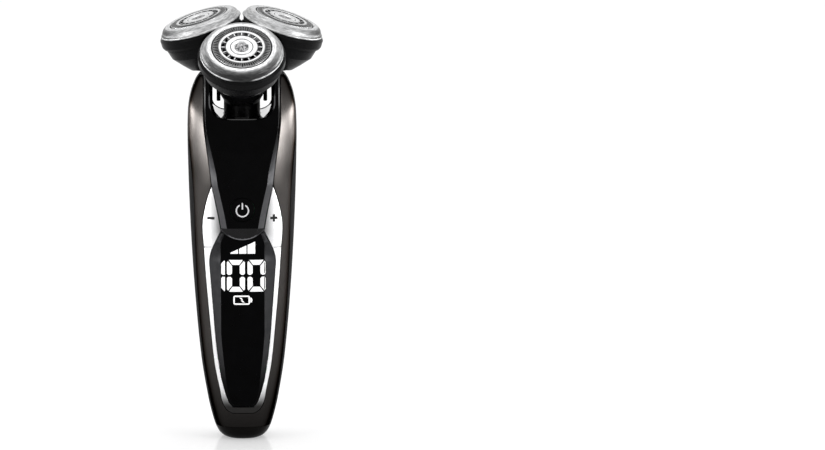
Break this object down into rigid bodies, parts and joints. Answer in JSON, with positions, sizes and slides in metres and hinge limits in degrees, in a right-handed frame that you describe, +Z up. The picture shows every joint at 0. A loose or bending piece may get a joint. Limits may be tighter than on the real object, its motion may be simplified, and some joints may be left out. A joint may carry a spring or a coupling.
{
  "type": "rotary electric shaver",
  "caption": "Cordless rotary electric shaver: a tapering handle with a display window, keys and a power button, and a pull-off shaving unit with tilting round heads on a leaning neck.",
  "frame": {"origin": "centre of the flat foot, at the mouth of the inlet socket", "axes": "+Z up along the handle, the front with the display faces -Y, and +X points right as the display is read"},
  "size_m": [0.062, 0.0585, 0.1656],
  "materials": {
    "frame_metallic": "metallic paint on plastic",
    "panel_gloss": "gloss",
    "window_gloss": "gloss",
    "trim_chrome": "satin",
    "shell_black": "satin",
    "grip_rubber": "matt, ribbed",
    "socket_plastic": "matt",
    "contact_metal": "plated",
    "chassis_plastic": "matt",
    "cell_sleeve": "shrink sleeve",
    "board_green": "solder mask",
    "module_dark": "matt",
    "motor_steel": "satin",
    "gear_ivory": "matt",
    "shaft_steel": "ground",
    "screw_steel": "plated",
    "bezel_steel": "brushed",
    "guard_steel": "polished",
    "cutter_steel": "ground",
    "ring_plastic": "matt"
  },
  "bodies": {
    "handle": {"front_frame": "frame_metallic", "front_panel": "panel_gloss", "display_window": "window_gloss", "trim_loop": "trim_chrome", "rear_cover": "shell_black", "rear_grip": "grip_rubber", "saddle": "shell_black", "foot_cap": "shell_black", "inlet_socket": "socket_plastic", "inlet_pins": "contact_metal", "chassis": "chassis_plastic", "battery_cell": "cell_sleeve", "battery_contacts": "contact_metal", "circuit_board": "board_green", "display_module": "module_dark", "dome_switches": "contact_metal", "motor_can": "motor_steel", "gear_plate": "motor_steel", "neck": "shell_black", "spindle_seal": "grip_rubber", "screws": "screw_steel"},
    "power_button": {"power_button": "panel_gloss"},
    "minus_key": {"minus_key": "trim_chrome"},
    "plus_key": {"plus_key": "trim_chrome"},
    "motor_rotor": {"motor_rotor": "shaft_steel"},
    "coupling_spindle": {"coupling_spindle": "shaft_steel", "spindle_gear": "gear_ivory"},
    "shaving_unit": {"unit_base": "shell_black", "unit_cover": "shell_black"},
    "sun_gear": {"sun_gear": "gear_ivory"},
    "drive_front": {"drive_gear_front": "gear_ivory", "drive_pin_front": "shaft_steel"},
    "gimbal_front": {"gimbal_ring_front": "ring_plastic"},
    "head_front": {"head_base_front": "shell_black", "bezel_front": "bezel_steel", "guard_front": "guard_steel", "retaining_ring_front": "ring_plastic"},
    "cutter_front": {"cutter_front": "cutter_steel"},
    "drive_right": {"drive_gear_right": "gear_ivory", "drive_pin_right": "shaft_steel"},
    "gimbal_right": {"gimbal_ring_right": "ring_plastic"},
    "head_right": {"head_base_right": "shell_black", "bezel_right": "bezel_steel", "guard_right": "guard_steel", "retaining_ring_right": "ring_plastic"},
    "cutter_right": {"cutter_right": "cutter_steel"},
    "drive_left": {"drive_gear_left": "gear_ivory", "drive_pin_left": "shaft_steel"},
    "gimbal_left": {"gimbal_ring_left": "ring_plastic"},
    "head_left": {"head_base_left": "shell_black", "bezel_left": "bezel_steel", "guard_left": "guard_steel", "retaining_ring_left": "ring_plastic"},
    "cutter_left": {"cutter_left": "cutter_steel"}
  },
  "joints": [
    {"name": "power_press", "type": "slide", "parent": "handle", "child": "power_button", "axis": [0, 1, 0], "range_m": [0, 0.0006], "stiffness_N_per_m": 600},
    {"name": "minus_press", "type": "slide", "parent": "handle", "child": "minus_key", "axis": [0, 1, 0], "range_m": [0, 0.0005], "stiffness_N_per_m": 600},
    {"name": "plus_press", "type": "slide", "parent": "handle", "child": "plus_key", "axis": [0, 1, 0], "range_m": [0, 0.0005], "stiffness_N_per_m": 600},
    {"name": "motor_spin", "type": "hinge", "parent": "handle", "child": "motor_rotor", "pos_m": [0, -0.00291, 0.10873], "axis": [0, -0.2756, 0.9613], "continuous": true},
    {"name": "spindle_spin", "type": "hinge", "parent": "handle", "child": "coupling_spindle", "pos_m": [0, 0.00065, 0.12536], "axis": [0, -0.2756, 0.9613], "continuous": true},
    {"name": "unit_pull", "type": "slide", "parent": "handle", "child": "shaving_unit", "axis": [0, -0.2756, 0.9613], "range_m": [0, 0.03]},
    {"name": "sun_spin", "type": "hinge", "parent": "shaving_unit", "child": "sun_gear", "pos_m": [0, -0.00431, 0.14266], "axis": [0, -0.2756, 0.9613], "continuous": true},
    {"name": "drive_front_spin", "type": "hinge", "parent": "shaving_unit", "child": "drive_front", "pos_m": [0, -0.02045, 0.13949], "axis": [0, -0.2756, 0.9613], "continuous": true},
    {"name": "rock_front", "type": "hinge", "parent": "shaving_unit", "child": "gimbal_front", "pos_m": [0, -0.0228, 0.14771], "axis": [1, 0, 0], "range_deg": [-4, 4], "stiffness_Nm_per_rad": 0.06},
    {"name": "roll_front", "type": "hinge", "parent": "gimbal_front", "child": "head_front", "pos_m": [0, -0.0228, 0.14771], "axis": [0, -0.809, -0.5878], "range_deg": [-4, 4], "stiffness_Nm_per_rad": 0.06},
    {"name": "cutter_front_spin", "type": "hinge", "parent": "head_front", "child": "cutter_front", "pos_m": [0, -0.0228, 0.14771], "axis": [0, -0.5878, 0.809], "continuous": true},
    {"name": "drive_right_spin", "type": "hinge", "parent": "shaving_unit", "child": "drive_right", "pos_m": [0.01419, 0.00317, 0.14626], "axis": [0, -0.2756, 0.9613], "continuous": true},
    {"name": "rock_right", "type": "hinge", "parent": "shaving_unit", "child": "gimbal_right", "pos_m": [0.01419, 0.00082, 0.15448], "axis": [-0.5, 0.8325, 0.2387], "range_deg": [-4, 4], "stiffness_Nm_per_rad": 0.06},
    {"name": "roll_right", "type": "hinge", "parent": "gimbal_right", "child": "head_right", "pos_m": [0.01419, 0.00082, 0.15448], "axis": [0.8138, 0.5459, -0.1993], "range_deg": [-4, 4], "stiffness_Nm_per_rad": 0.06},
    {"name": "cutter_right_spin", "type": "hinge", "parent": "head_right", "child": "cutter_right", "pos_m": [0.01419, 0.00082, 0.15448], "axis": [0.2962, -0.0946, 0.9504], "continuous": true},
    {"name": "drive_left_spin", "type": "hinge", "parent": "shaving_unit", "child": "drive_left", "pos_m": [-0.01419, 0.00317, 0.14626], "axis": [0, -0.2756, 0.9613], "continuous": true},
    {"name": "rock_left", "type": "hinge", "parent": "shaving_unit", "child": "gimbal_left", "pos_m": [-0.01419, 0.00082, 0.15448], "axis": [-0.5, -0.8325, -0.2387], "range_deg": [-4, 4], "stiffness_Nm_per_rad": 0.06},
    {"name": "roll_left", "type": "hinge", "parent": "gimbal_left", "child": "head_left", "pos_m": [-0.01419, 0.00082, 0.15448], "axis": [-0.8138, 0.5459, -0.1993], "range_deg": [-4, 4], "stiffness_Nm_per_rad": 0.06},
    {"name": "cutter_left_spin", "type": "hinge", "parent": "head_left", "child": "cutter_left", "pos_m": [-0.01419, 0.00082, 0.15448], "axis": [-0.2962, -0.0946, 0.9504], "continuous": true}
  ],
  "couplings": [
    {"joint": "spindle_spin", "follows": "motor_spin", "ratio": -0.45455},
    {"joint": "sun_spin", "follows": "motor_spin", "ratio": -0.45455},
    {"joint": "drive_front_spin", "follows": "motor_spin", "ratio": 0.60606},
    {"joint": "cutter_front_spin", "follows": "motor_spin", "ratio": 0.60606},
    {"joint": "drive_right_spin", "follows": "motor_spin", "ratio": 0.60606},
    {"joint": "cutter_right_spin", "follows": "motor_spin", "ratio": 0.60606},
    {"joint": "drive_left_spin", "follows": "motor_spin", "ratio": 0.60606},
    {"joint": "cutter_left_spin", "follows": "motor_spin", "ratio": 0.60606}
  ]
}
